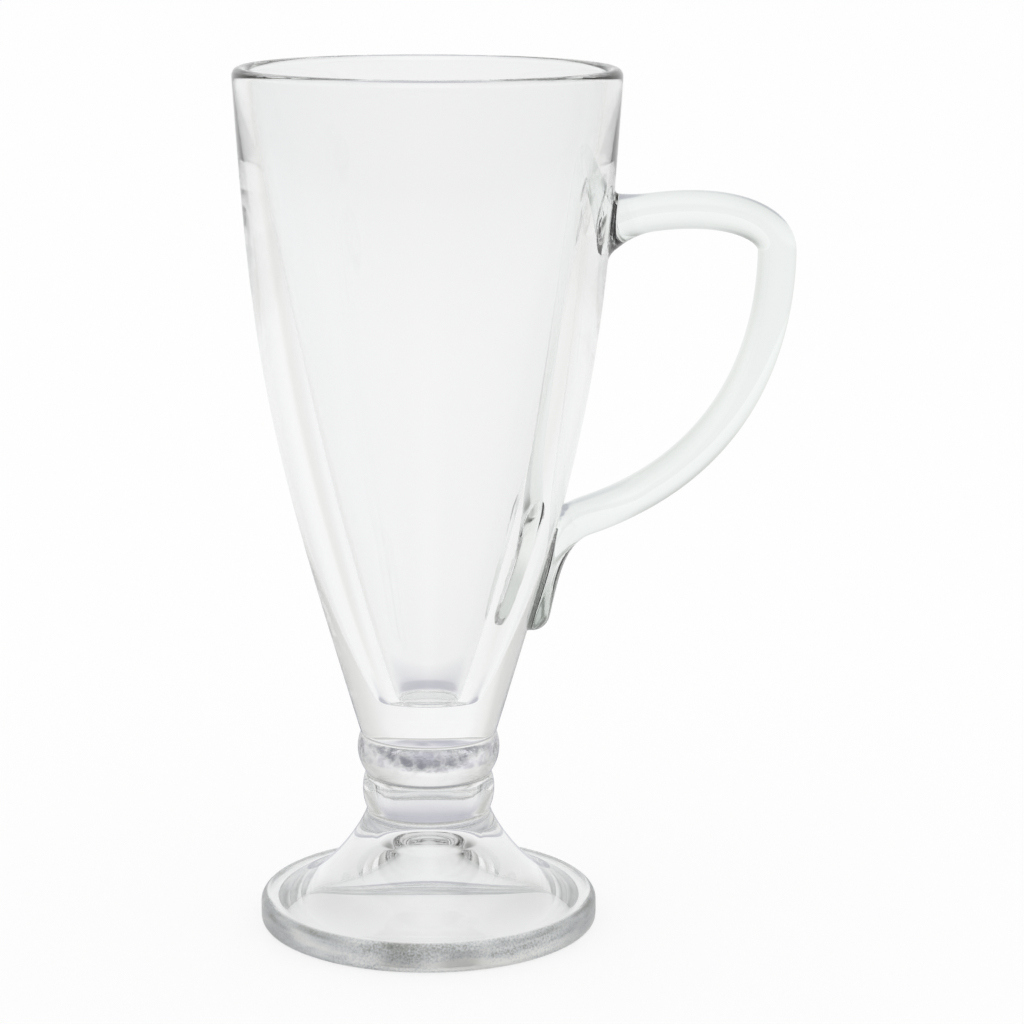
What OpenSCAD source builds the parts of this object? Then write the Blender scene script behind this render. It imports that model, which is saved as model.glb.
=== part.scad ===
// Footed glass mug for irish coffee: a tall tapered bowl on two stem rings, a short waist and a
// hollow bell foot, with a loop handle at +X. The mug rests at z = 0 and its axis is the Z axis.

/* [Whole mug] */
// Height from the table to the top of the lip
mug_height = 171; // [165:1:180]
// Straight steps along each free curve
curve_steps = 14; // [10:1:20]
// Facets around the round surfaces
round_facets = 96; // [48:8:128]

/* [Bowl] */
// Outer diameter at the lip
lip_diameter = 75; // [72:1:80]
// Glass thickness at the lip
lip_wall = 3.2; // [2.8:0.1:3.6]
// Height of the groove where the bowl's solid base meets the upper ring
bowl_base_height = 39.4; // [38.6:0.1:40.4]
// Outer diameter in that groove
bowl_base_diameter = 27.2; // [26:0.1:28]
// Sideways lean of the outer wall at the base, over its rise
base_lean_share = 0.3; // [0.27:0.01:0.33]
// Sideways lean of the outer wall at the lip, over its rise
lip_lean_share = 0.06; // [0.04:0.01:0.08]
// Part of the bowl's height over which the outer wall keeps its base lean
base_pull_share = 0.48; // [0.4:0.01:0.55]
// Part of the bowl's height over which the outer wall keeps its lip lean
lip_pull_share = 0.42; // [0.35:0.01:0.5]

/* [Cavity] */
// Height of the cavity floor above the table
cavity_floor_height = 47.5; // [46:0.5:50]
// Diameter of the flat part of the floor
cavity_floor_diameter = 11; // [9:0.5:12.5]
// Diameter where the floor's rounded corner meets the wall
cavity_corner_diameter = 15; // [14:0.2:17]
// Height of that rounded corner above the floor
cavity_corner_rise = 3.2; // [2.6:0.2:5]
// Sideways lean of the inner wall at its corner, over its rise
cavity_lean_share = 0.35; // [0.31:0.01:0.37]
// Part of the cavity's height over which the inner wall keeps its corner lean
cavity_base_pull_share = 0.15; // [0.1:0.01:0.2]
// Part of the cavity's height over which the inner wall keeps its lip lean
cavity_lip_pull_share = 0.27; // [0.22:0.01:0.32]

/* [Stem] */
// Largest diameter of the upper ring
upper_ring_diameter = 28.4; // [27.6:0.1:29]
// Height of the upper ring's widest level
upper_ring_height = 36; // [35.5:0.1:36.5]
// Radius of the upper ring's bulge, seen in section
upper_ring_bulge = 8; // [7:0.5:10]
// Height of the groove between the two rings
ring_groove_height = 30.9; // [30.4:0.1:31.4]
// Largest diameter of the lower ring
lower_ring_diameter = 26.4; // [25.8:0.1:27]
// Height of the lower ring's widest level
lower_ring_height = 27.4; // [27:0.1:27.8]
// Radius of the lower ring's bulge, seen in section
lower_ring_bulge = 10; // [9:0.5:12]
// Height of the groove between the lower ring and the waist
waist_top_height = 23.4; // [23:0.1:23.8]
// Smallest diameter of the waist
waist_diameter = 24.7; // [24:0.1:25.2]
// Height where the waist ends and the foot begins
waist_base_height = 19; // [18.5:0.5:20]

/* [Foot] */
// Largest diameter of the foot
foot_diameter = 67.6; // [64:0.4:72]
// Thickness of the foot's edge
foot_edge_height = 6; // [5:0.2:7]
// Radius of the edge's upper corner
foot_top_radius = 1.8; // [1:0.1:2.2]
// Radius of the edge's lower corner
foot_bottom_radius = 1.2; // [0.8:0.1:1.6]
// Width of the flat ring that the mug rests on
rest_width = 2.8; // [2:0.2:4]
// Part of the foot's radius where the bell's flank would reach the edge's level
flank_reach_share = 0.62; // [0.56:0.01:0.68]
// Height of the hollow's dome above the table
dome_height = 17.6; // [16.4:0.2:18]
// Diameter of the dome where it meets the hollow's slope
dome_diameter = 14.8; // [13:0.2:17]
// Height of that meeting line above the table
dome_edge_height = 14.4; // [13.6:0.2:15.2]

/* [Handle] */
// Distance from the mug's axis to the handle's outermost face
handle_reach = 71.6; // [68:0.2:76]
// Thickness of the handle, seen from the side
handle_thickness = 7.5; // [6.5:0.1:8.5]
// Width of the handle, across the mug
handle_width = 9.4; // [8:0.2:11]
// Height where the upper arm leaves the bowl
upper_root_height = 141.6; // [138:0.2:145]
// Rise of the upper arm as it leaves the bowl, in degrees
upper_arm_rise = 13.5; // [8:0.5:18]
// Height of the handle's outermost face
bend_height = 135.6; // [132:0.2:138]
// Height where the lower arm reaches the bowl
lower_root_height = 83; // [80:0.2:88]
// Fall of the lower arm as it reaches the bowl, in degrees
lower_arm_fall = 19; // [14:0.5:26]
// Height of the lower tip of the handle's tail
tail_height = 60; // [57:0.5:64]
// How far the upper arm grows beyond half its thickness where it meets the bowl
root_flare = 1.8; // [1:0.1:3]
// Length of the upper arm over which it flares
root_flare_length = 8; // [6:0.5:12]
// How far outside the bowl's wall the lower arm's centre turns down into the tail
turn_offset = 5; // [4:0.2:7]
// How far the lower arm spreads beyond half its width at that turn
turn_spread = 1.2; // [0:0.1:2]
// Length of handle, on either side of the turn, over which it spreads
turn_spread_length = 14; // [10:0.5:18]
// How far the tail stands proud of the bowl
tail_depth = 3.6; // [2.4:0.1:4.2]
// Half of the tail's width
tail_half_width = 4.2; // [3.4:0.1:5]

/* [Hidden] */
$fn = round_facets;
clear_glass = [0.86, 0.9, 0.89, 0.4];
cloudy_glass = [0.78, 0.78, 0.84, 0.55];

lip_r = lip_diameter / 2;
lip_round = lip_wall / 2;
wall_top = mug_height - lip_round;
base_r = bowl_base_diameter / 2;
bowl_rise = wall_top - bowl_base_height;
inner_lip_r = lip_r - lip_wall;
corner_r = cavity_corner_diameter / 2;
corner_z = cavity_floor_height + cavity_corner_rise;
cavity_rise = wall_top - corner_z;
floor_r = cavity_floor_diameter / 2;
waist_r = waist_diameter / 2;
foot_r = foot_diameter / 2;
foot_shelf_r = foot_r - foot_top_radius;
hollow_r = foot_r - foot_bottom_radius - rest_width;
flank_r = foot_r * flank_reach_share;
dome_edge_r = dome_diameter / 2;
overrun = 1;
half_thick = handle_thickness / 2;
half_wide = handle_width / 2;

// Share of its corner circle's radius that a quarter turn's control point lies at
quarter_share = 0.55;

// A point on the curve that starts at a, is pulled towards b and c, and ends at d
function curve_point(a, b, c, d, t) =
    let (s = 1 - t) s * s * s * a + 3 * s * s * t * b + 3 * s * t * t * c + t * t * t * d;
// The curve's points, without its first one
function curve(a, b, c, d) =
    [for (i = [1:curve_steps]) curve_point(a, b, c, d, i / curve_steps)];

// Outer wall of the bowl, from the groove up to the lip, as [radius, height]
bowl_start = [base_r, bowl_base_height];
bowl_end = [lip_r, wall_top];
base_pull = bowl_rise * base_pull_share * [base_lean_share, 1];
lip_pull = bowl_rise * lip_pull_share * [lip_lean_share, 1];
bowl_wall = concat([bowl_start], curve(bowl_start, bowl_start + base_pull, bowl_end - lip_pull, bowl_end));

// Inner wall of the cavity, from its corner up to the lip, and the rounded corner under it
cavity_start = [corner_r, corner_z];
cavity_end = [inner_lip_r, wall_top];
cavity_base_pull = cavity_rise * cavity_base_pull_share * [cavity_lean_share, 1];
cavity_lip_pull = cavity_rise * cavity_lip_pull_share * [lip_lean_share, 1];
cavity_wall = concat(
    [cavity_start],
    curve(cavity_start, cavity_start + cavity_base_pull, cavity_end - cavity_lip_pull, cavity_end)
);
floor_point = [floor_r, cavity_floor_height];
corner_pull = cavity_corner_rise * quarter_share * [cavity_lean_share, 1];
floor_pull = [(corner_r - floor_r) * quarter_share, 0];
floor_corner = curve(floor_point, floor_point + floor_pull, cavity_start - corner_pull, cavity_start);

// Radius of the bowl's outer wall at a height
bowl_heights = [for (p = bowl_wall) [p[1], p[0]]];
function bowl_r(z) = lookup(z, bowl_heights);

// Flank of the foot, from the waist's groove down to the flat shelf beside the edge
flank_start = [waist_r, waist_top_height];
flank_end = [foot_shelf_r, foot_edge_height];
flank_pull = (waist_top_height - foot_edge_height) * (1 - quarter_share) / 4;
flank = concat(
    [flank_start],
    curve(flank_start, flank_start - [0, flank_pull], [flank_r, foot_edge_height], flank_end)
);
flank_heights = [for (i = [len(flank) - 1:-1:0]) [flank[i][1], flank[i][0]]];
waist_base_r = lookup(waist_base_height, flank_heights);
waist_flank = [for (p = flank) if (p[1] > waist_base_height) p];
foot_flank = [for (p = flank) if (p[1] < waist_base_height) p];

// Hollow under the foot: a slope up from the resting ring and a dome over it
slope_start = [hollow_r, 0];
slope_end = [dome_edge_r, dome_edge_height];
slope_span = hollow_r - dome_edge_r;
hollow_slope = curve(
    slope_start,
    slope_start + [-slope_span, dome_edge_height] * (1 - quarter_share),
    slope_end + [slope_span, -dome_edge_height] * (1 - quarter_share) * quarter_share,
    slope_end
);
dome_rise = dome_height - dome_edge_height;
dome_ball_r = (dome_edge_r * dome_edge_r + dome_rise * dome_rise) / (2 * dome_rise);

// Path of the handle in the XZ plane, as three curves that run on into each other
bend = [handle_reach - half_thick, bend_height];
upper_root = [bowl_r(upper_root_height), upper_root_height];
upper_dir = [cos(upper_arm_rise), sin(upper_arm_rise)];
lower_root = [bowl_r(lower_root_height) + turn_offset, lower_root_height];
lower_dir = [cos(lower_arm_fall), sin(lower_arm_fall)];
tail_end = [bowl_r(tail_height), tail_height];
arm_span = bend[0] - upper_root[0];
fall_span = bend[1] - lower_root[1];
tail_span = lower_root[1] - tail_end[1];
// How far each curve holds its end directions, as shares of the spans they cross
upper_pull_share = 0.65;
shoulder_pull_share = 0.19;
bend_pull_share = 0.26;
lower_pull_share = 0.66;
crotch_pull_share = 0.4;
tail_pull_share = 0.36;
tail_dir = [base_lean_share, 1];
upper_arm = curve(
    upper_root,
    upper_root + upper_dir * arm_span * upper_pull_share,
    bend + [0, arm_span * shoulder_pull_share],
    bend
);
lower_arm = curve(
    bend,
    bend - [0, fall_span * bend_pull_share],
    lower_root + lower_dir * fall_span * lower_pull_share,
    lower_root
);
tail = curve(
    lower_root,
    lower_root - lower_dir * tail_span * crotch_pull_share,
    tail_end + tail_dir * tail_span * tail_pull_share,
    tail_end
);
path = concat([upper_root - upper_dir * lip_wall, upper_root], upper_arm, lower_arm, tail);
last = len(path) - 1;
lower_root_step = 1 + 2 * curve_steps;

// Length of the path up to each of its points
function run_to(i) = i == 0 ? 0 : run_to(i - 1) + norm(path[i] - path[i - 1]);
run = [for (i = [0:last]) run_to(i)];
tail_run = run[last] - run[lower_root_step];
// Grows from 0 in the plain arm to 1 at the wall, with a hollow curve
function flare(i) = pow(max(0, 1 - (run[i] - run[1]) / root_flare_length), 2);
// Swells to 1 at the turn and dies away on both sides of it
function spread(i) = pow(max(0, 1 - pow((run[i] - run[lower_root_step]) / turn_spread_length, 2)), 2);
// Goes smoothly from 0 at the turn to 1 at the tail's tip
function tail_part(i) = let (t = max(0, run[i] - run[lower_root_step]) / tail_run) t * t * (3 - 2 * t);
// The last stretch of the tail closes like the end of an egg
function tip_scale(i) =
    let (left = (run[last] - run[i]) / tail_depth) left < 1 ? sqrt(max(0, 1 - pow(1 - left, 2))) : 1;
function half_height(i) =
    half_thick * (1 - tail_part(i)) + tail_depth * tail_part(i) + root_flare * flare(i);
function half_side(i) =
    half_wide * (1 - tail_part(i)) + tail_half_width * tail_part(i)
    + root_flare / 2 * flare(i) + turn_spread * spread(i);
function heading(i) =
    let (d = path[min(i + 1, last)] - path[max(i - 1, 0)]) d / norm(d);

section_facets = 24;
section_turn = 360 / section_facets;
smallest_tip = 0.12;
module handle_sweep() {
    points = [
        for (i = [0:last], k = [0:section_facets - 1])
            let (
                dir = heading(i),
                tip = max(smallest_tip, tip_scale(i)),
                out = half_height(i) * tip * cos(k * section_turn),
                side = half_side(i) * tip * sin(k * section_turn)
            )
            [path[i][0] - dir[1] * out, side, path[i][1] + dir[0] * out]
    ];
    sides = [
        for (i = [0:last - 1], k = [0:section_facets - 1])
            let (
                a = i * section_facets + k,
                b = i * section_facets + (k + 1) % section_facets
            )
            [a, b, b + section_facets, a + section_facets]
    ];
    first_cap = [for (k = [section_facets - 1:-1:0]) k];
    last_cap = [for (k = [0:section_facets - 1]) last * section_facets + k];
    polyhedron(points, concat([first_cap], sides, [last_cap]));
}

// Section of a rounded ring between two heights, widest at its own level
module ring_section(diameter, level, bulge, low, high) {
    intersection() {
        translate([diameter / 2 - bulge, level]) circle(r = bulge);
        translate([0, low]) square([diameter / 2, high - low]);
    }
}

module ring(diameter, level, bulge, low, high) {
    rotate_extrude() {
        ring_section(diameter, level, bulge, low, high);
        translate([0, low]) square([diameter / 2 - bulge, high - low]);
    }
}

module bowl() {
    color(clear_glass) rotate_extrude() {
        difference() {
            union() {
                polygon(concat([[0, bowl_base_height]], bowl_wall, [[0, wall_top]]));
                translate([lip_r - lip_round, wall_top]) circle(r = lip_round);
            }
            polygon(concat([[0, cavity_floor_height], floor_point], floor_corner, cavity_wall, [[0, wall_top]]));
        }
    }
}

module upper_ring() {
    color(cloudy_glass)
        ring(upper_ring_diameter, upper_ring_height, upper_ring_bulge, ring_groove_height, bowl_base_height);
}

module lower_ring() {
    color(clear_glass)
        ring(lower_ring_diameter, lower_ring_height, lower_ring_bulge, waist_top_height, ring_groove_height);
}

module waist() {
    color(clear_glass) rotate_extrude()
        polygon(concat(
            [[0, waist_top_height]], waist_flank,
            [[waist_base_r, waist_base_height], [0, waist_base_height]]
        ));
}

// What rounding a corner takes away, with the corner up and to the right of the arc's centre
module corner_cut(radius) {
    difference() {
        square(radius + overrun);
        circle(r = radius);
    }
}

module foot() {
    color(clear_glass) rotate_extrude() {
        difference() {
            polygon(concat(
                [[0, waist_base_height], [waist_base_r, waist_base_height]], foot_flank,
                [[foot_r, foot_edge_height], [foot_r, 0], [0, 0]]
            ));
            translate([foot_shelf_r, foot_edge_height - foot_top_radius]) corner_cut(foot_top_radius);
            translate([foot_r - foot_bottom_radius, foot_bottom_radius]) mirror([0, 1])
                corner_cut(foot_bottom_radius);
            polygon(concat([slope_start], hollow_slope, [[0, dome_edge_height], [0, 0]]));
            intersection() {
                translate([0, dome_height - dome_ball_r]) circle(r = dome_ball_r);
                translate([0, dome_edge_height]) square([dome_edge_r, dome_rise]);
            }
        }
    }
}

module handle() {
    color(clear_glass) difference() {
        handle_sweep();
        rotate_extrude() polygon(concat([[0, bowl_base_height]], bowl_wall, [[0, wall_top]]));
    }
}

bowl();
upper_ring();
lower_ring();
waist();
foot();
handle();
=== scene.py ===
import math

import bpy
import numpy as np
from mathutils import Euler, Matrix, Vector
from mathutils.bvhtree import BVHTree
from mathutils.interpolate import poly_3d_calc


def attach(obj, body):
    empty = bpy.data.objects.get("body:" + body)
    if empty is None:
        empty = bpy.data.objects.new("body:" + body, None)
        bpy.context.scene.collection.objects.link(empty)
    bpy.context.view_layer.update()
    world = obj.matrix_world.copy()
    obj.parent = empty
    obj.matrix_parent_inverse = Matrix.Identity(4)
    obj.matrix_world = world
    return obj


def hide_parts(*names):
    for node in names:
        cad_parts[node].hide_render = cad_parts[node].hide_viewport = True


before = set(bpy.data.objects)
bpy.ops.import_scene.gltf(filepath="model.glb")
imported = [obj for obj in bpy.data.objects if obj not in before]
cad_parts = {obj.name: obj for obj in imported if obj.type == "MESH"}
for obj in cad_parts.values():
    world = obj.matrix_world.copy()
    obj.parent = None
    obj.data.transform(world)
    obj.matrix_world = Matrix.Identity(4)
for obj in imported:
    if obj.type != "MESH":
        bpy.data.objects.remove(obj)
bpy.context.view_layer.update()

mm = 0.001
scene = bpy.context.scene
print("frame loaded")


# a few tools


def toLinear(hexCode):
    levels = [int(hexCode[i:i + 2], 16) / 255 for i in (1, 3, 5)]
    return [v / 12.92 if v <= 0.04045 else ((v + 0.055) / 1.055) ** 2.4 for v in levels] + [1.0]


def addNode(tree, kind, values=None, links=None, stops=(), **settings):
    node = tree.nodes.new(kind)
    for name, value in settings.items():
        setattr(node, name, value)
    for socket, value in (values or {}).items():
        node.inputs[socket].default_value = value
    for socket, source in (links or {}).items():
        tree.links.new(source, node.inputs[socket])
    for i, (at, tone) in enumerate(stops):  # a colour ramp comes with two marks
        mark = node.color_ramp.elements[i] if i < 2 else node.color_ramp.elements.new(at)
        mark.position, mark.color = at, toLinear(tone)
    return node


def between(low, high, atLow=0, atHigh=1):
    return {"From Min": low, "From Max": high, "To Min": atLow, "To Max": atHigh}


def spread(stops):
    # each mark's place as its share of the way from the first mark to the last
    first, last = stops[0][0], stops[-1][0]
    return [((at - first) / (last - first), tone) for at, tone in stops]


def pulledCurve(start, pullStart, pullEnd, end, steps):
    t = np.linspace(0, 1, steps + 1)[:, None]
    s = 1 - t
    points = [np.asarray(p, float) for p in (start, pullStart, pullEnd, end)]
    return s**3 * points[0] + 3 * s * s * t * points[1] + 3 * s * t * t * points[2] + t**3 * points[3]


def arc(centre, radius, fromDegrees, toDegrees, steps):
    a = np.radians(np.linspace(fromDegrees, toDegrees, steps + 1))
    return np.stack([centre[0] + radius * np.cos(a), centre[1] + radius * np.sin(a)], 1)


# camera, where the photograph was taken from

cameraSizes = {
    "place": (0.0, -598.8 * mm, 211.8 * mm),
    "down": 12.067,  # degrees below the horizon
    "turnRight": 1.58,
    "roll": 0.25,
    "lens": 109.1,  # on a 36 mm wide sensor
    "sensor": 36,
    "nearest": 10 * mm,
}
camera = bpy.data.objects.new("camera", bpy.data.cameras.new("camera"))
scene.collection.objects.link(camera)
camera.data.lens = cameraSizes["lens"]
camera.data.sensor_width = cameraSizes["sensor"]
camera.data.clip_start = cameraSizes["nearest"]
aim = Euler((math.radians(90 - cameraSizes["down"]), 0, -math.radians(cameraSizes["turnRight"])))
camera.matrix_world = (
    Matrix.Translation(cameraSizes["place"])
    @ aim.to_matrix().to_4x4()
    @ Matrix.Rotation(math.radians(cameraSizes["roll"]), 4, "Z")
)
scene.camera = camera
print("camera set")


# outline of the whole mug, from the hollow's top round the foot, up outside and down inside

bowlSizes = {
    "height": 171 * mm,
    "lipRadius": 37.5 * mm,
    "lipWall": 3.2 * mm,
    "baseHeight": 39.4 * mm,
    "baseRadius": 13.6 * mm,
    # leans are run outwards over rise; pulls are shares of the rise, at the low end and at the lip
    "baseLean": 0.3,
    "lipLean": 0.06,
    "outerPulls": (0.48, 0.42),
    "innerLean": 0.35,
    "innerPulls": (0.15, 0.27),
    "floorHeight": 47.5 * mm,
    "floorRadius": 5.5 * mm,
    "cornerRadius": 7.5 * mm,
    "cornerRise": 3.2 * mm,
}
stemSizes = {
    "upperRing": {"radius": 14.2 * mm, "level": 36 * mm, "bulge": 8 * mm},
    "lowerRing": {"radius": 13.2 * mm, "level": 27.4 * mm, "bulge": 10 * mm},
    "ringGroove": 30.9 * mm,
    "waistTop": 23.4 * mm,
    "waistRadius": 12.35 * mm,
    "waistBase": 19 * mm,
}
footSizes = {
    "radius": 33.8 * mm,
    "edge": 6 * mm,
    "topRound": 1.8 * mm,
    "bottomRound": 1.2 * mm,
    "restWidth": 2.8 * mm,
    "flankReach": 0.62,  # how far in the foot stays flat, as a share of its radius
    "domeHeight": 17.6 * mm,
    "domeRadius": 7.4 * mm,
    "domeEdge": 14.4 * mm,
}
quarterShare = 0.55  # where a quarter turn's control point lies


def hollowOutline():
    f = footSizes
    domeRise = f["domeHeight"] - f["domeEdge"]
    domeBall = (f["domeRadius"] ** 2 + domeRise**2) / (2 * domeRise)
    domeTurn = math.degrees(math.asin(f["domeRadius"] / domeBall))
    dome = arc((0, f["domeHeight"] - domeBall), domeBall, 90, 90 - domeTurn, steps=60)
    hollowEnd = f["radius"] - f["bottomRound"] - f["restWidth"]
    span = np.array([hollowEnd - f["domeRadius"], -f["domeEdge"]])
    slopeStart = np.array([hollowEnd, 0.0])
    slopeEnd = np.array([f["domeRadius"], f["domeEdge"]])
    slope = pulledCurve(
        slopeStart,
        slopeStart - span * (1 - quarterShare),
        slopeEnd + span * (1 - quarterShare) * quarterShare,
        slopeEnd,
        steps=200,
    )[::-1]
    return [dome, slope]


def footAndStemOutline():
    s, f = stemSizes, footSizes
    low, top = f["bottomRound"], f["topRound"]
    lowCorner = arc((f["radius"] - low, low), low, -90, 0, steps=30)
    topCorner = arc((f["radius"] - top, f["edge"] - top), top, 0, 90, steps=30)
    fall = (s["waistTop"] - f["edge"]) * (1 - quarterShare) / 4
    flank = pulledCurve(
        (f["radius"] - top, f["edge"]),
        (f["radius"] * f["flankReach"], f["edge"]),
        (s["waistRadius"], s["waistTop"] - fall),
        (s["waistRadius"], s["waistTop"]),
        steps=300,
    )
    rings = []
    for ring, lowLevel, highLevel in (
        (s["lowerRing"], s["waistTop"], s["ringGroove"]),
        (s["upperRing"], s["ringGroove"], bowlSizes["baseHeight"]),
    ):
        turns = [
            math.degrees(math.asin((level - ring["level"]) / ring["bulge"]))
            for level in (lowLevel, highLevel)
        ]
        rings.append(arc((ring["radius"] - ring["bulge"], ring["level"]), ring["bulge"], *turns, steps=100))
    return [lowCorner, topCorner, flank, *rings]


def bowlOutline():
    b = bowlSizes
    lipRound = b["lipWall"] / 2
    wallTop = b["height"] - lipRound
    baseLean, lipLean, innerLean = [np.array([b[name], 1]) for name in ("baseLean", "lipLean", "innerLean")]
    start, end = np.array([b["baseRadius"], b["baseHeight"]]), np.array([b["lipRadius"], wallTop])
    rise = wallTop - b["baseHeight"]
    lowPull, lipPull = b["outerPulls"]
    outer = pulledCurve(
        start, start + rise * lowPull * baseLean, end - rise * lipPull * lipLean, end, steps=600
    )
    lip = arc((b["lipRadius"] - lipRound, wallTop), lipRound, 0, 180, steps=60)
    start = np.array([b["cornerRadius"], b["floorHeight"] + b["cornerRise"]])
    end = np.array([b["lipRadius"] - b["lipWall"], wallTop])
    rise = end[1] - start[1]
    lowPull, lipPull = b["innerPulls"]
    inner = pulledCurve(
        start, start + rise * lowPull * innerLean, end - rise * lipPull * lipLean, end, steps=600
    )
    floorEdge = np.array([b["floorRadius"], b["floorHeight"]])
    corner = pulledCurve(
        floorEdge,
        floorEdge + [(b["cornerRadius"] - b["floorRadius"]) * quarterShare, 0],
        start - b["cornerRise"] * quarterShare * innerLean,
        start,
        steps=60,
    )
    centre = np.array([[0, b["floorHeight"]]])
    return [outer, lip, inner[::-1], corner[::-1], centre]


outlineSizes = {
    "step": 0.05 * mm,
    "softening": 0.35 * mm,  # how far fire polish rounds every crease
    # a row of the mesh at least this often along the outline, and per radian that it turns
    "longestRow": 1.5 * mm,
    "rowTurn": 0.1,
    "fewestRows": 4,  # between two seams
    "segments": 256,  # round the axis
}


def evenly(points, step):
    gaps = np.linalg.norm(np.diff(points, axis=0), axis=1)
    points = points[np.r_[True, gaps > 1e-9]]
    run = np.r_[0, np.cumsum(np.linalg.norm(np.diff(points, axis=0), axis=1))]
    at = np.linspace(0, run[-1], int(run[-1] / step) + 1)
    return np.stack([np.interp(at, run, points[:, k]) for k in (0, 1)], 1)


def softened(points, step, reach):
    many = int(4 * reach / step)
    weights = np.exp(-0.5 * (np.arange(-many, many + 1) * step / reach) ** 2)
    weights /= weights.sum()
    flip = np.array([-1, 1])  # beyond the axis the outline goes on as its mirror image
    padded = np.concatenate([points[many:0:-1] * flip, points, points[-2:-many - 2:-1] * flip])
    return np.stack([np.convolve(padded[:, k], weights, "valid") for k in (0, 1)], 1)


whole = np.concatenate([*hollowOutline(), *footAndStemOutline(), *bowlOutline()])
fine = softened(evenly(whole, outlineSizes["step"]), outlineSizes["step"], outlineSizes["softening"])
fine[[0, -1], 0] = 0
heading = np.gradient(fine, axis=0)
heading /= np.linalg.norm(heading, axis=1)[:, None]
run = np.r_[0, np.cumsum(np.linalg.norm(np.diff(fine, axis=0), axis=1))]
bending = np.abs(np.gradient(np.unwrap(np.arctan2(heading[:, 1], heading[:, 0])), run))
density = np.cumsum(1 / outlineSizes["longestRow"] + bending / outlineSizes["rowTurn"]) * outlineSizes["step"]

outside = slice(0, int(np.argmax(fine[:, 1])))
# the seams lie above the place where the foot is widest
beyondFoot = int(np.argmax(fine[outside, 0] > footSizes["radius"] - 0.1 * mm))
seams = {}
for name, level in (
    ("waistBase", stemSizes["waistBase"]),
    ("waistTop", stemSizes["waistTop"]),
    ("ringGroove", stemSizes["ringGroove"]),
    ("baseHeight", bowlSizes["baseHeight"]),
):
    seams[name] = beyondFoot + int(np.argmax(fine[beyondFoot:outside.stop, 1] >= level))

rows, seamRow = [0], {}
for name, stop in [*seams.items(), ("end", len(fine) - 1)]:
    begin = rows[-1]
    count = max(outlineSizes["fewestRows"], int(round(density[stop] - density[begin])))
    marks = np.linspace(density[begin], density[stop], count + 1)[1:]
    rows += [int(v) for v in np.searchsorted(density, marks[:-1])] + [stop]
    seamRow[name] = len(rows) - 1
outline, outlineHeading = fine[rows], heading[rows]
print("outline drawn in", len(rows), "rows")

segments = outlineSizes["segments"]
turn = np.arange(segments) * 2 * math.pi / segments
around = np.stack([np.cos(turn), np.sin(turn)], 1)
places = np.empty((len(rows), segments, 3))
places[..., :2] = outline[:, None, :1] * around
places[..., 2] = outline[:, None, 1]
normals = np.empty_like(places)
normals[..., :2] = outlineHeading[:, None, 1:] * around
normals[..., 2] = -outlineHeading[:, :1]


# pieces that are turned round the axis

glassFace, jointFace, rodFace = 0, 1, 2  # material slots


def turnedPiece(name, firstRow, lastRow):
    # a row on the axis is drawn as one point; any other end is closed by a joint face
    onAxis = [int(outline[row, 0] < 1e-6) for row in (firstRow, lastRow)]
    used = slice(firstRow + onAxis[0], lastRow + 1 - onAxis[1])
    skin = places[used].reshape(-1, 3)
    middles = [(0, 0, outline[row, 1]) for row in (firstRow, lastRow)]
    faces, kinds = [], []
    count = len(skin) // segments
    for i in range(count - 1):
        for j in range(segments):
            k = (j + 1) % segments
            faces.append((i * segments + j, i * segments + k, (i + 1) * segments + k, (i + 1) * segments + j))
            kinds.append(glassFace)
    top = (count - 1) * segments
    for j in range(segments):
        k = (j + 1) % segments
        faces += [(k, j, len(skin)), (top + j, top + k, len(skin) + 1)]
        kinds += [glassFace if closed else jointFace for closed in onAxis]
    mesh = bpy.data.meshes.new(name)
    mesh.from_pydata([tuple(v) for v in skin] + middles, [], faces)
    mesh.polygons.foreach_set("material_index", kinds)
    mesh.shade_smooth()
    mesh.normals_split_custom_set_from_vertices(
        [tuple(v) for v in normals[used].reshape(-1, 3)] + [(0, 0, -1), (0, 0, 1)]
    )
    piece = bpy.data.objects.new(name, mesh)
    scene.collection.objects.link(piece)
    return piece


foot = turnedPiece("foot_glass", 0, seamRow["waistBase"])
waist = turnedPiece("waist_glass", seamRow["waistBase"], seamRow["waistTop"])
lowerRing = turnedPiece("lower_ring_glass", seamRow["waistTop"], seamRow["ringGroove"])
upperRing = turnedPiece("upper_ring_glass", seamRow["ringGroove"], seamRow["baseHeight"])
bowl = turnedPiece("bowl_glass", seamRow["baseHeight"], seamRow["end"])
print("turned pieces made")


# handle, a rod bent while hot and fused to the bowl's wall at both ends

handleSizes = {
    "reach": 71.6 * mm,
    "thickness": 7.5 * mm,
    "width": 9.4 * mm,
    "upperRoot": 141.6 * mm,
    "upperRise": 13.5,  # degrees
    "upperPulls": (0.65, 0.19),  # shares of the upper arm's reach
    "bend": 135.6 * mm,
    "lowerRoot": 83 * mm,
    "lowerFall": 19,  # degrees
    "lowerPulls": (0.26, 0.66),  # shares of the drop from the bend to the lower root
    "turnOffset": 5 * mm,
    "turnSpread": 1.2 * mm,
    "turnSpreadLength": 14 * mm,
    "tail": 60 * mm,
    "tailPulls": (0.4, 0.36),  # shares of the tail's height
    "tailDepth": 3.6 * mm,
    "tailHalfWidth": 4.2 * mm,
    "flare": 1.8 * mm,
    "flareLength": 8 * mm,
    "flareInWall": 1.27,  # the flare goes on growing to this share inside the wall
    "rootIn": 2.4 * mm,  # how deep the rod's end sits in the wall
    "fillet": 1.1 * mm,
    "sides": 96,
    "ringGap": 0.7 * mm,
    "rootRingGap": 0.14 * mm,  # rings lie close together where the glass meets the wall
    "rootRings": 2.5 * mm,
    "tipRingGap": 0.16 * mm,  # and where the tail's tip rounds off
    "tipLeast": 0.0004,  # keeps the last ring from closing to a point
}
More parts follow.
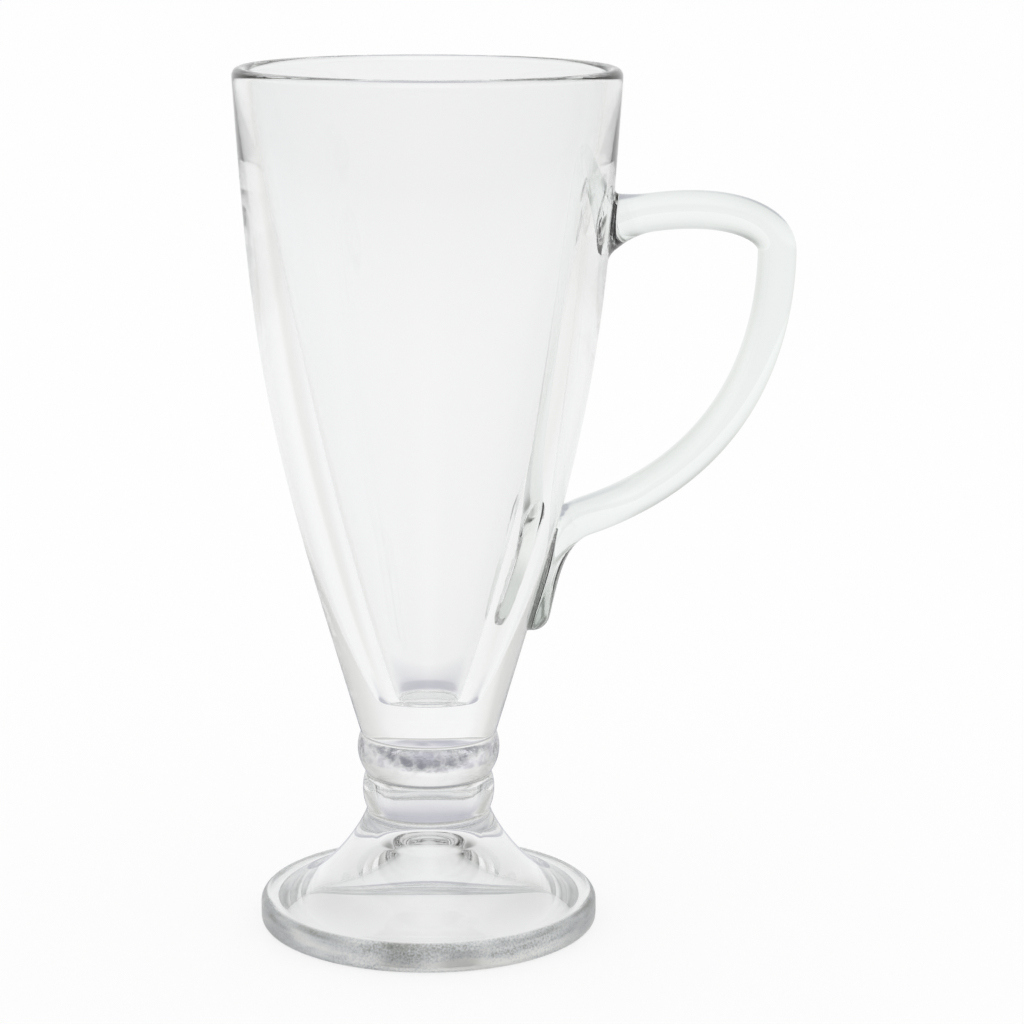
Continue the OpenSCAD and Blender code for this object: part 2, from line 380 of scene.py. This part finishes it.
outerStart, outerStop = seams["baseHeight"], outside.stop
outerLine, outerHeading = fine[outerStart:outerStop], heading[outerStart:outerStop]


def wallRadius(height):
    return np.interp(height, outerLine[:, 1], outerLine[:, 0])


def handlePath():
    h = handleSizes
    bend = np.array([h["reach"] - h["thickness"] / 2, h["bend"]])
    upperRoot = np.array([wallRadius(h["upperRoot"]), h["upperRoot"]])
    lowerRoot = np.array([wallRadius(h["lowerRoot"]) + h["turnOffset"], h["lowerRoot"]])
    tailEnd = np.array([wallRadius(h["tail"]), h["tail"]])
    upperDir, lowerDir = [
        np.array([math.cos(math.radians(h[name])), math.sin(math.radians(h[name]))])
        for name in ("upperRise", "lowerFall")
    ]
    tailDir = np.array([bowlSizes["baseLean"], 1])
    arm, drop, tailSpan = bend[0] - upperRoot[0], bend[1] - lowerRoot[1], lowerRoot[1] - tailEnd[1]
    rootPull, bendPull = arm * h["upperPulls"][0], arm * h["upperPulls"][1]
    start = np.linspace(upperRoot - upperDir * h["rootIn"], upperRoot, 20)[:-1]
    upper = pulledCurve(upperRoot, upperRoot + upperDir * rootPull, bend + [0, bendPull], bend, steps=400)
    bendPull, rootPull = drop * h["lowerPulls"][0], drop * h["lowerPulls"][1]
    lower = pulledCurve(bend, bend - [0, bendPull], lowerRoot + lowerDir * rootPull, lowerRoot, steps=400)
    rootPull, tipPull = tailSpan * h["tailPulls"][0], tailSpan * h["tailPulls"][1]
    tail = pulledCurve(
        lowerRoot, lowerRoot - lowerDir * rootPull, tailEnd + tailDir * tipPull, tailEnd, steps=400
    )
    path = np.concatenate([start, upper, lower[1:], tail[1:]])
    run = np.r_[0, np.cumsum(np.linalg.norm(np.diff(path, axis=0), axis=1))]
    return path, run, run[len(start)], run[len(start) + len(upper) + len(lower) - 2]


def handleSweep():
    h = handleSizes
    path, run, rootRun, turnRun = handlePath()
    spacing = np.full(len(run), h["ringGap"])
    spacing[run < rootRun + h["rootRings"]] = h["rootRingGap"]
    spacing[run > run[-1] - h["tailDepth"]] = h["tipRingGap"]
    density = np.r_[0, np.cumsum(np.diff(run) / spacing[1:])]
    at = np.interp(np.linspace(0, density[-1], int(density[-1]) + 1), density, run)
    line = np.stack([np.interp(at, run, path[:, k]) for k in (0, 1)], 1)
    along = np.gradient(line, at, axis=0)
    along /= np.linalg.norm(along, axis=1)[:, None]
    flare = np.clip(1 - (at - rootRun) / h["flareLength"], 0, h["flareInWall"]) ** 2
    turned = np.clip(1 - ((at - turnRun) / h["turnSpreadLength"]) ** 2, 0, 1) ** 2
    t = np.clip((at - turnRun) / (run[-1] - turnRun), 0, 1)
    tailPart = t * t * (3 - 2 * t)
    toTip = np.minimum((run[-1] - at) / h["tailDepth"], 1)
    tip = np.sqrt(np.clip(1 - (1 - toTip) ** 2, h["tipLeast"], 1))
    tall = h["thickness"] / 2 * (1 - tailPart) + h["tailDepth"] * tailPart + h["flare"] * flare
    wide = (
        h["width"] / 2 * (1 - tailPart)
        + h["tailHalfWidth"] * tailPart
        + h["flare"] / 2 * flare
        + h["turnSpread"] * turned
    )
    a = np.arange(h["sides"]) * 2 * math.pi / h["sides"]
    out = (tall * tip)[:, None] * np.cos(a)
    across = (wide * tip)[:, None] * np.sin(a)
    verts = np.empty((len(at), h["sides"], 3))
    verts[..., 0] = line[:, :1] - along[:, 1:] * out
    verts[..., 1] = across
    verts[..., 2] = line[:, 1:] + along[:, :1] * out

    # the fillet that molten glass draws where it meets the wall
    radial = verts - np.stack([line[:, 0], np.zeros(len(at)), line[:, 1]], 1)[:, None]
    radial /= np.linalg.norm(radial, axis=2)[..., None] + 1e-12
    radius = np.hypot(verts[..., 0], verts[..., 1])
    level = verts[..., 2]
    rise = [np.interp(level, outerLine[:, 1], outerHeading[:, k]) for k in (0, 1)]
    wall = np.stack([verts[..., 0] / radius * rise[1], verts[..., 1] / radius * rise[1], -rise[0]], 2)
    off = (radius - wallRadius(level)) * rise[1]
    near = np.clip(h["fillet"] - off, 0, h["fillet"])
    push = h["fillet"] - np.sqrt(h["fillet"] ** 2 - near**2)
    sideways = radial - (radial * wall).sum(2)[..., None] * wall
    return verts + sideways * push[..., None]


def sweptMesh(name, grid):
    rings, sides = grid.shape[:2]
    ends = [tuple(grid[0].mean(0)), tuple(grid[-1].mean(0))]
    faces = []
    for i in range(rings - 1):
        for j in range(sides):
            k = (j + 1) % sides
            faces.append((i * sides + k, i * sides + j, (i + 1) * sides + j, (i + 1) * sides + k))
    middle, last = rings * sides, (rings - 1) * sides
    for j in range(sides):
        k = (j + 1) % sides
        faces.append((j, k, middle))
        faces.append((last + k, last + j, middle + 1))
    mesh = bpy.data.meshes.new(name)
    mesh.from_pydata([tuple(v) for v in grid.reshape(-1, 3)] + ends, [], faces)
    return mesh


handleMesh = sweptMesh("handle_rod", handleSweep())
print("handle swept,", len(handleMesh.vertices), "points")


# bowl and handle are fused: each keeps its own outside, and one hidden joint face closes both

samePlace = 0.0005 * mm  # corners this near each other are one corner


def fused(first, second, operation):
    blocks = [bpy.data.objects.new("block", mesh) for mesh in (first, second)]
    for block in blocks:
        scene.collection.objects.link(block)
    cut = blocks[0].modifiers.new("cut", "BOOLEAN")
    cut.operation, cut.solver, cut.object = operation, "EXACT", blocks[1]
    view = bpy.context.evaluated_depsgraph_get()
    mesh = bpy.data.meshes.new_from_object(blocks[0].evaluated_get(view))
    for block in blocks:
        bpy.data.objects.remove(block)
    return mesh


def pickFaces(mesh, kinds):
    points = [tuple(v.co) for v in mesh.vertices]
    return [
        ([points[i] for i in face.vertices], face.material_index)
        for face in mesh.polygons
        if face.material_index in kinds
    ]


def closedPiece(name, picks):
    # picks are lists of (corner points, material slot)
    verts, faces, kinds, known = [], [], [], {}
    for corners, kind in picks:
        face = []
        for point in corners:
            key = tuple(round(v / samePlace) for v in point)
            if key not in known:
                known[key] = len(verts)
                verts.append(point)
            if known[key] not in face:
                face.append(known[key])
        if len(face) > 2:
            faces.append(face)
            kinds.append(kind)
    mesh = bpy.data.meshes.new(name)
    mesh.from_pydata(verts, [], faces)
    mesh.polygons.foreach_set("material_index", kinds)
    piece = bpy.data.objects.new(name, mesh)
    scene.collection.objects.link(piece)
    return piece


def smoothFrom(piece, guide, guideNormals):
    # every corner takes the normal of the nearest place on the uncut surface
    skin = [f for f in guide.polygons if f.material_index != jointFace]
    tree = BVHTree.FromPolygons([v.co for v in guide.vertices], [tuple(f.vertices) for f in skin])
    smooth = []
    for vert in piece.data.vertices:
        place, _, index, _ = tree.find_nearest(vert.co)
        corners = skin[index].vertices
        weights = poly_3d_calc([guide.vertices[i].co for i in corners], place)
        normal = sum((Vector(guideNormals[i]) * w for i, w in zip(corners, weights)), Vector())
        smooth.append(normal.normalized())
    piece.data.shade_smooth()
    piece.data.normals_split_custom_set_from_vertices(smooth)


def openEdges(piece):
    counts = {}
    for face in piece.data.polygons:
        for edge in face.edge_keys:
            counts[edge] = counts.get(edge, 0) + 1
    return sum(1 for n in counts.values() if n != 2)


for mesh in (bowl.data, handleMesh):
    for _ in (glassFace, jointFace, rodFace):
        mesh.materials.append(None)
handleMesh.polygons.foreach_set("material_index", [rodFace] * len(handleMesh.polygons))
both = fused(bowl.data, handleMesh, "UNION")
shared = fused(bowl.data, handleMesh, "INTERSECT")
joint = [(corners, jointFace) for corners, _ in pickFaces(shared, (glassFace,))]
bowlSkin = pickFaces(both, (glassFace, jointFace))
rodSkin = [(corners, glassFace) for corners, _ in pickFaces(both, (rodFace,))]
uncutBowl = bowl.data
bowlGuide = {loop.vertex_index: n.vector.copy() for loop, n in zip(uncutBowl.loops, uncutBowl.corner_normals)}
bpy.data.objects.remove(bowl)
bowl = closedPiece("bowl_glass", bowlSkin + joint)
handle = closedPiece("handle_glass", rodSkin + [(corners[::-1], kind) for corners, kind in joint])
smoothFrom(bowl, uncutBowl, bowlGuide)
smoothFrom(handle, handleMesh, [v.normal.copy() for v in handleMesh.vertices])
for piece in (foot, waist, lowerRing, upperRing, bowl, handle):
    print(piece.name, len(piece.data.polygons), "faces", openEdges(piece), "edges not shared by two")


# materials: every piece is soda-lime glass, and they differ in how the surface was made and in the shade
# painted on them

glassLook = {
    "index": 1.52,  # how strongly soda-lime glass bends light
    "clear": "#fcfcfc",
    "grazingShade": "#d5dbda",  # painted shade: the glass's faint green, deepened to grey, darkens every outline seen slanting
    "grazingBlend": 0.12,
}


def newGlass(name, clear, grazingShade):
    material = bpy.data.materials.new(name)
    material.use_nodes = True
    tree = material.node_tree
    shader = tree.nodes["Principled BSDF"]
    shader.inputs["Transmission Weight"].default_value = 1
    shader.inputs["IOR"].default_value = glassLook["index"]
    shader.inputs["Roughness"].default_value = 0
    # painted shade: the base colour turns to the grazing tone where the surface is seen slanting, so outlines
    # come out darker
    slant = addNode(tree, "ShaderNodeLayerWeight", values={"Blend": glassLook["grazingBlend"]})
    tone = addNode(
        tree,
        "ShaderNodeMix",
        data_type="RGBA",
        values={"A": toLinear(clear), "B": toLinear(grazingShade)},
        links={"Factor": slant.outputs["Facing"]},
    )
    tree.links.new(tone.outputs["Result"], shader.inputs["Base Color"])
    place = addNode(tree, "ShaderNodeTexCoord")
    return material, shader, place.outputs["Object"], tone.outputs["Result"]


# fire polish melts the skin smooth and leaves long shallow waves: lines behind it bend a little
# the handle's rod has a faint green of its own, and painted shade darkens its outlines and its tail

polishedLook = {
    "wave": 22 * mm,
    "waveDepth": 0.05 * mm,
    "waveDetail": 1,
    "rod": "#f7faf8",
    "rodGrazingShade": "#bac8c4",
    "tail": "#bfc6c0",  # painted shade: the tail is darkened, standing in for the look of much glass seen along it
    "tailShadeLevels": (68 * mm, 75 * mm),  # all of that tone below, none above
}


def polishedGlass(name, clear, grazingShade, withTailShade=False):
    look = polishedLook
    material, shader, place, tone = newGlass(name, clear, grazingShade)
    tree = material.node_tree
    waves = addNode(
        tree,
        "ShaderNodeTexNoise",
        values={"Scale": 1 / look["wave"], "Detail": look["waveDetail"]},
        links={"Vector": place},
    )
    relief = addNode(
        tree, "ShaderNodeBump", values={"Distance": look["waveDepth"]}, links={"Height": waves.outputs["Fac"]}
    )
    tree.links.new(relief.outputs["Normal"], shader.inputs["Normal"])
    # painted shade on the tail: the rod's tone darkens below the tail levels
    if withTailShade:
        height = addNode(tree, "ShaderNodeSeparateXYZ", links={0: place})
        onTailShade = addNode(
            tree,
            "ShaderNodeMapRange",
            interpolation_type="SMOOTHSTEP",
            values=between(*look["tailShadeLevels"], 1, 0),
            links={"Value": height.outputs["Z"]},
        )
        shadedRodTone = addNode(
            tree,
            "ShaderNodeMix",
            data_type="RGBA",
            values={"B": toLinear(look["tail"])},
            links={"Factor": onTailShade.outputs["Result"], "A": tone},
        )
        tree.links.new(shadedRodTone.outputs["Result"], shader.inputs["Base Color"])
    return material


# a press leaves the stem with short faint waves: its highlights break into streaks
# painted shade: the grooves between the rings are drawn as fine dark lines, where grazing reflections darken
# them

stemLook = {
    "grazingShade": "#8f9190",  # painted shade: the stem's outlines are drawn darker, as its thick glass looks there
    "wave": 5 * mm,
    "waveDepth": 0.004 * mm,
    "waveDetail": 2,
    "groove": "#a9aba5",
    "grooveWidth": (0.12 * mm, 0.5 * mm),  # half the line's width, and where it has faded out
}


# painted shade along the grooves: the tone turns darker near each groove's level
def withGrooveShade(tree, place, tone, levels):
    height = addNode(tree, "ShaderNodeSeparateXYZ", links={0: place})
    for level in levels:
        above = addNode(
            tree, "ShaderNodeMath", operation="SUBTRACT", values={1: level}, links={0: height.outputs["Z"]}
        )
        away = addNode(tree, "ShaderNodeMath", operation="ABSOLUTE", links={0: above.outputs[0]})
        share = addNode(
            tree,
            "ShaderNodeMapRange",
            interpolation_type="SMOOTHSTEP",
            values=between(*stemLook["grooveWidth"], 1, 0),
            links={"Value": away.outputs[0]},
        )
        tone = addNode(
            tree,
            "ShaderNodeMix",
            data_type="RGBA",
            values={"B": toLinear(stemLook["groove"])},
            links={"Factor": share.outputs["Result"], "A": tone},
        ).outputs["Result"]
    return tone


def pressedGlass(name):
    look = stemLook
    material, shader, place, tone = newGlass(name, glassLook["clear"], look["grazingShade"])
    tree = material.node_tree
    waves = addNode(
        tree,
        "ShaderNodeTexNoise",
        values={"Scale": 1 / look["wave"], "Detail": look["waveDetail"]},
        links={"Vector": place},
    )
    relief = addNode(
        tree, "ShaderNodeBump", values={"Distance": look["waveDepth"]}, links={"Height": waves.outputs["Fac"]}
    )
    lined = withGrooveShade(tree, place, tone, (stemSizes["waistTop"], stemSizes["ringGroove"]))
    tree.links.new(relief.outputs["Normal"], shader.inputs["Normal"])
    tree.links.new(lined, shader.inputs["Base Color"])
    return material


# the upper ring was chill-marked by the mould's parting, which left it hazy and mottled, and painted shade
# tints a band of it mottled violet-grey

chillAndShadeLook = {
    "cloud": 2.6 * mm,
    "cloudDepth": 0.05 * mm,
    "cloudDetail": 3,
    "roughFrom": (0.45, 0.65),
    "roughness": (0.0, 0.2),
    # painted shade: these violet-grey tones, laid in a band round the ring, stand in for the shade seen
    # through it
    "tones": ((0.0, "#a3a1ae"), (0.3, "#bfbecb"), (0.5, "#dcdce6"), (0.75, "#f4f4f6"), (1.0, "#c9c8d2")),
    "toneRange": (0.3, 0.7),
    "level": 36.6 * mm,
    "band": (1.7 * mm, 2.4 * mm),  # half the band's height, and where it has faded out
}


def chilledGlassWithShade(name):
    look = chillAndShadeLook
    material, shader, place, tone = newGlass(name, glassLook["clear"], stemLook["grazingShade"])
    tree = material.node_tree
    clouds = addNode(
        tree,
        "ShaderNodeTexNoise",
        values={"Scale": 1 / look["cloud"], "Detail": look["cloudDetail"]},
        links={"Vector": place},
    ).outputs["Fac"]
    relief = addNode(
        tree, "ShaderNodeBump", values={"Distance": look["cloudDepth"]}, links={"Height": clouds}
    )
    haze = addNode(
        tree,
        "ShaderNodeMapRange",
        interpolation_type="SMOOTHSTEP",
        values=between(*look["roughFrom"], *look["roughness"]),
        links={"Value": clouds},
    )
    height = addNode(tree, "ShaderNodeSeparateXYZ", links={0: place})
    above = addNode(
        tree,
        "ShaderNodeMath",
        operation="SUBTRACT",
        values={1: look["level"]},
        links={0: height.outputs["Z"]},
    )
    away = addNode(tree, "ShaderNodeMath", operation="ABSOLUTE", links={0: above.outputs[0]})
    # the band that carries the painted shade
    onShadeBand = addNode(
        tree,
        "ShaderNodeMapRange",
        interpolation_type="SMOOTHSTEP",
        values=between(*look["band"], 1, 0),
        links={"Value": away.outputs[0]},
    )
    share = addNode(tree, "ShaderNodeMapRange", values=between(*look["toneRange"]), links={"Value": clouds})
    cloudShade = addNode(
        tree, "ShaderNodeValToRGB", links={"Fac": share.outputs["Result"]}, stops=look["tones"]
    )
    shadedRingTone = addNode(
        tree,
        "ShaderNodeMix",
        data_type="RGBA",
        links={"Factor": onShadeBand.outputs["Result"], "A": tone, "B": cloudShade.outputs["Color"]},
    )
    lined = withGrooveShade(
        tree, place, shadedRingTone.outputs["Result"], (stemSizes["ringGroove"], bowlSizes["baseHeight"])
    )
    tree.links.new(haze.outputs["Result"], shader.inputs["Roughness"])
    tree.links.new(relief.outputs["Normal"], shader.inputs["Normal"])
    tree.links.new(lined, shader.inputs["Base Color"])
    return material


# the foot is pressed smooth above, but its edge came off rough iron: grey, grainy and dull

edgeLook = {
    "from": (32.1 * mm, 33 * mm),  # distance from the axis where the pitted edge begins
    "pit": 0.4 * mm,  # the real pits are half as wide and would only show as noise
    "pitDepth": 0.03 * mm,
    "pitDetail": 3,
    "roughness": 0.3,
    "tones": ((0.0, "#464844"), (0.36, "#868882"), (0.6, "#b9bdc2"), (1.0, "#f0f0ea")),
    "toneRange": (0.57, 1.19),
    "streak": 12 * mm,  # patches of denser pits
    "streakStretch": (1, 1, 5),  # they are five times as long as they are high
    "streakDetail": 2,
    "wornSide": (0.2, -0.98, 0),  # where the edge is most worn: to the front and a little right
    "wornFrom": (21 * mm, 31 * mm),  # distance towards that side
    "wornGrain": (0.35, 0.9),  # how much of the grain shows away from that side, and on it
    "frontBand": (2.2 * mm, 3.8 * mm),  # there the edge is drawn brighter below these levels and darker above
    "frontBandDepth": 0.09,
}


def pittedGlass(name):
    look = edgeLook
    material, shader, place, tone = newGlass(name, glassLook["clear"], glassLook["grazingShade"])
    tree = material.node_tree
    flat = addNode(
        tree, "ShaderNodeVectorMath", operation="MULTIPLY", values={1: (1, 1, 0)}, links={0: place}
    )
    fromAxis = addNode(tree, "ShaderNodeVectorMath", operation="LENGTH", links={0: flat.outputs["Vector"]})
    onEdge = addNode(
        tree,
        "ShaderNodeMapRange",
        interpolation_type="SMOOTHSTEP",
        values=between(*look["from"]),
        links={"Value": fromAxis.outputs["Value"]},
    ).outputs["Result"]
    grain = addNode(
        tree,
        "ShaderNodeTexNoise",
        values={"Scale": 1 / look["pit"], "Detail": look["pitDetail"]},
        links={"Vector": place},
    ).outputs["Fac"]
    stretched = addNode(
        tree,
        "ShaderNodeVectorMath",
        operation="MULTIPLY",
        values={1: look["streakStretch"]},
        links={0: place},
    )
    streaks = addNode(
        tree,
        "ShaderNodeTexNoise",
        values={"Scale": 1 / look["streak"], "Detail": look["streakDetail"]},
        links={"Vector": stretched.outputs["Vector"]},
    )
    towards = addNode(
        tree, "ShaderNodeVectorMath", operation="DOT_PRODUCT", values={1: look["wornSide"]}, links={0: place}
    )
    worn = addNode(
        tree,
        "ShaderNodeMapRange",
        interpolation_type="SMOOTHSTEP",
        values=between(*look["wornFrom"]),
        links={"Value": towards.outputs["Value"]},
    ).outputs["Result"]
    height = addNode(tree, "ShaderNodeSeparateXYZ", links={0: place})
    # on that side the edge is drawn brighter below these levels and darker above
    upper = addNode(
        tree,
        "ShaderNodeMapRange",
        interpolation_type="SMOOTHSTEP",
        values=between(*look["frontBand"], look["frontBandDepth"], -look["frontBandDepth"]),
        links={"Value": height.outputs["Z"]},
    )
    banded = addNode(
        tree,
        "ShaderNodeMath",
        operation="MULTIPLY_ADD",
        links={0: worn, 1: upper.outputs["Result"], 2: streaks.outputs["Fac"]},
    )
    # less grain keeps the same middle tone
    few, many = look["wornGrain"]
    strength, evened = [
        addNode(
            tree,
            "ShaderNodeMapRange",
            interpolation_type="SMOOTHSTEP",
            values=between(0, 1, *ends),
            links={"Value": worn},
        ).outputs["Result"]
        for ends in ((few, many), ((1 - few) / 2, (1 - many) / 2))
    ]
    grained = addNode(
        tree, "ShaderNodeMath", operation="MULTIPLY_ADD", links={0: grain, 1: strength, 2: evened}
    )
    mixed = addNode(
        tree, "ShaderNodeMath", operation="ADD", links={0: grained.outputs[0], 1: banded.outputs[0]}
    )
    share = addNode(
        tree, "ShaderNodeMapRange", values=between(*look["toneRange"]), links={"Value": mixed.outputs[0]}
    )
    pitTone = addNode(tree, "ShaderNodeValToRGB", links={"Fac": share.outputs["Result"]}, stops=look["tones"])
    footTone = addNode(
        tree,
        "ShaderNodeMix",
        data_type="RGBA",
        links={"Factor": onEdge, "A": tone, "B": pitTone.outputs["Color"]},
    )
    rough = addNode(
        tree, "ShaderNodeMath", operation="MULTIPLY", values={1: look["roughness"]}, links={0: onEdge}
    )
    relief = addNode(
        tree,
        "ShaderNodeBump",
        values={"Distance": look["pitDepth"]},
        links={"Height": grain, "Strength": onEdge},
    )
    tree.links.new(footTone.outputs["Result"], shader.inputs["Base Color"])
    tree.links.new(rough.outputs[0], shader.inputs["Roughness"])
    tree.links.new(relief.outputs["Normal"], shader.inputs["Normal"])
    return material


polished = polishedGlass("soda-lime glass, fire-polished", glassLook["clear"], glassLook["grazingShade"])
drawn = polishedGlass(
    "soda-lime glass, drawn rod", polishedLook["rod"], polishedLook["rodGrazingShade"], withTailShade=True
)
pressed = pressedGlass("soda-lime glass, pressed in a mould")
chillAndShade = chilledGlassWithShade("soda-lime glass, pressed and chill-marked")
pitted = pittedGlass("soda-lime glass, pressed with a pitted edge")

# where two pieces were fused there is no surface left
seamless = bpy.data.materials.new("fused joint, nothing to see")
seamless.use_nodes = True
seamless.node_tree.nodes["Principled BSDF"].inputs["Alpha"].default_value = 0

for piece, node, glass in (
    (foot, "foot", pitted),
    (waist, "waist", pressed),
    (lowerRing, "lower_ring", pressed),
    (upperRing, "upper_ring", chillAndShade),
    (bowl, "bowl", polished),
    (handle, "handle", drawn),
):
    piece.data.materials.append(glass)
    piece.data.materials.append(seamless)
    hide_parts(node)
    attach(piece, "root")
print("materials made")


# the studio: white paper for the camera, and for the glass the soft greys of the room round it

studioLook = {
    # degrees to the right of straight behind the mug, and the tone that the glass meets there
    "round": (
        (-180, "#fbfbfb"),
        (-120, "#f8f8f8"),
        (-66, "#fafafb"),
        (-57, "#efefee"),
        (-46, "#ededea"),
        (-38, "#fdfdfc"),
        (-24, "#fefeff"),
        (-8, "#fbfbfc"),
        (10, "#fafafa"),
        (30, "#f7f7f7"),
        (45, "#f0f0ee"),
        (60, "#f3f3f2"),
        (75, "#f8f8f8"),
        (180, "#fbfbfb"),
    ),
    # degrees above the horizon, and how much of that tone is left
    "upwards": (
        (0, "#ffffff"),
        (12, "#f3f3f2"),
        (24, "#cfd0cd"),
        (38, "#8a8c88"),
        (55, "#50524e"),
        (75, "#3e403c"),
        (90, "#808280"),
    ),
    # the white ceiling over the mug: how far to each side it reaches, and how much dimming it keeps
    "overhead": (0.12, 0.5),
    "overheadShare": 0.25,
    # the soft violet shade that the mug throws on the paper: its middle, and metres from there
    "shadeMiddle": (0, 102 * mm, 0),
    "shade": (
        (0.0, "#b5b4c1"),
        (0.046, "#bdbdc8"),
        (0.06, "#e4e4e8"),
        (0.08, "#fbfbfb"),
        (0.2, "#ffffff"),
        (0.36, "#ffffff"),
        (0.6, "#f8f8f8"),
    ),
    "roomFrom": (0.05, 0.16),  # metres from the axis where the paper takes on the room's tones
    "paper": "#fcfcfc",
    "paperRoughness": 0.9,
    "paperHalfWidth": 6.0,
    "paperLevel": -0.1 * mm,  # just clear of the foot
    "shadow": 0.2,  # share of the real shadow that the camera sees, the rest is paper white
    "shadowInGlass": 0.15,
    "bounces": 24,  # light stays in the thick glass for many turns before it leaves
}


def roomTone(tree, axes):
    azimuth = addNode(
        tree, "ShaderNodeMath", operation="ARCTAN2", links={0: axes.outputs["X"], 1: axes.outputs["Y"]}
    )
    share = addNode(
        tree, "ShaderNodeMapRange", values=between(-math.pi, math.pi), links={"Value": azimuth.outputs[0]}
    )
    tones = addNode(
        tree, "ShaderNodeValToRGB", links={"Fac": share.outputs["Result"]}, stops=spread(studioLook["round"])
    )
    return tones.outputs["Color"]


def seenInGlass(tree, path):
    rays = {0: path.outputs["Is Glossy Ray"], 1: path.outputs["Is Transmission Ray"]}
    return addNode(tree, "ShaderNodeMath", operation="MAXIMUM", links=rays).outputs[0]


def paperGlow(tree):
    # what the glass sees of the paper: the room's tones far out, the mug's shade near by
    look = studioLook
    place = addNode(tree, "ShaderNodeNewGeometry").outputs["Position"]
    axes = addNode(tree, "ShaderNodeSeparateXYZ", links={0: place})
    distance = addNode(tree, "ShaderNodeVectorMath", operation="LENGTH", links={0: place})
    farShare = addNode(
        tree,
        "ShaderNodeMapRange",
        values=between(*look["roomFrom"]),
        links={"Value": distance.outputs["Value"]},
    )
    farTone = addNode(
        tree,
        "ShaderNodeMix",
        data_type="RGBA",
        values={"A": toLinear("#ffffff")},
        links={"Factor": farShare.outputs["Result"], "B": roomTone(tree, axes)},
    )
    fromShade = addNode(
        tree, "ShaderNodeVectorMath", operation="DISTANCE", values={1: look["shadeMiddle"]}, links={0: place}
    )
    shadeShare = addNode(
        tree,
        "ShaderNodeMapRange",
        values=between(0, look["shade"][-1][0]),
        links={"Value": fromShade.outputs["Value"]},
    )
    shade = addNode(
        tree, "ShaderNodeValToRGB", links={"Fac": shadeShare.outputs["Result"]}, stops=spread(look["shade"])
    )
    paperTone = addNode(
        tree,
        "ShaderNodeMix",
        data_type="RGBA",
        blend_type="MULTIPLY",
        values={"Factor": 1},
        links={"A": farTone.outputs["Result"], "B": shade.outputs["Color"]},
    )
    return addNode(tree, "ShaderNodeEmission", links={"Color": paperTone.outputs["Result"]})


side, level = studioLook["paperHalfWidth"], studioLook["paperLevel"]
floorMesh = bpy.data.meshes.new("floor")
corners = [(-side, -side, level), (side, -side, level), (side, side, level), (-side, side, level)]
floorMesh.from_pydata(corners, [], [(0, 1, 2, 3)])
floor = bpy.data.objects.new("floor", floorMesh)
scene.collection.objects.link(floor)

# matt paper, bleached white: even and without shine
paper = bpy.data.materials.new("white paper, matt")
paper.use_nodes = True
tree = paper.node_tree
matt = tree.nodes["Principled BSDF"]
matt.inputs["Base Color"].default_value = toLinear(studioLook["paper"])
matt.inputs["Roughness"].default_value = studioLook["paperRoughness"]
path = addNode(tree, "ShaderNodeLightPath")
whiteGlow = addNode(tree, "ShaderNodeEmission")
surface = matt.outputs[0]
for rays, shadow, glow in (
    (path.outputs["Is Camera Ray"], studioLook["shadow"], whiteGlow),
    (seenInGlass(tree, path), studioLook["shadowInGlass"], paperGlow(tree)),
):
    share = addNode(tree, "ShaderNodeMath", operation="MULTIPLY", values={1: 1 - shadow}, links={0: rays})
    links = {0: share.outputs[0], 1: surface, 2: glow.outputs[0]}
    surface = addNode(tree, "ShaderNodeMixShader", links=links).outputs[0]
tree.links.new(surface, tree.nodes["Material Output"].inputs["Surface"])
floorMesh.materials.append(paper)

world = bpy.data.worlds.new("studio room")
scene.world = world
world.use_nodes = True
tree = world.node_tree
direction = addNode(tree, "ShaderNodeTexCoord")
axes = addNode(tree, "ShaderNodeSeparateXYZ", links={0: direction.outputs["Generated"]})
upwards = addNode(tree, "ShaderNodeMath", operation="ARCSINE", links={0: axes.outputs["Z"]})
upShare = addNode(
    tree, "ShaderNodeMapRange", values=between(0, math.pi / 2), links={"Value": upwards.outputs[0]}
)
upTone = addNode(
    tree, "ShaderNodeValToRGB", links={"Fac": upShare.outputs["Result"]}, stops=spread(studioLook["upwards"])
)
toSide = addNode(tree, "ShaderNodeMath", operation="ABSOLUTE", links={0: axes.outputs["X"]})
dimming = addNode(
    tree,
    "ShaderNodeMapRange",
    interpolation_type="SMOOTHSTEP",
    values=between(*studioLook["overhead"], studioLook["overheadShare"], 1),
    links={"Value": toSide.outputs[0]},
)
roomLight = addNode(
    tree,
    "ShaderNodeMix",
    data_type="RGBA",
    blend_type="MULTIPLY",
    links={"Factor": dimming.outputs["Result"], "A": roomTone(tree, axes), "B": upTone.outputs["Color"]},
)
inGlass = seenInGlass(tree, addNode(tree, "ShaderNodeLightPath"))
tone = addNode(
    tree,
    "ShaderNodeMix",
    data_type="RGBA",
    values={"A": toLinear("#ffffff")},
    links={"Factor": inGlass, "B": roomLight.outputs["Result"]},
)
tree.links.new(tone.outputs["Result"], tree.nodes["Background"].inputs["Color"])

scene.view_settings.view_transform = "Standard"
scene.cycles.max_bounces = studioLook["bounces"]
scene.cycles.transmission_bounces = studioLook["bounces"]
scene.cycles.glossy_bounces = studioLook["bounces"]
print("studio set")
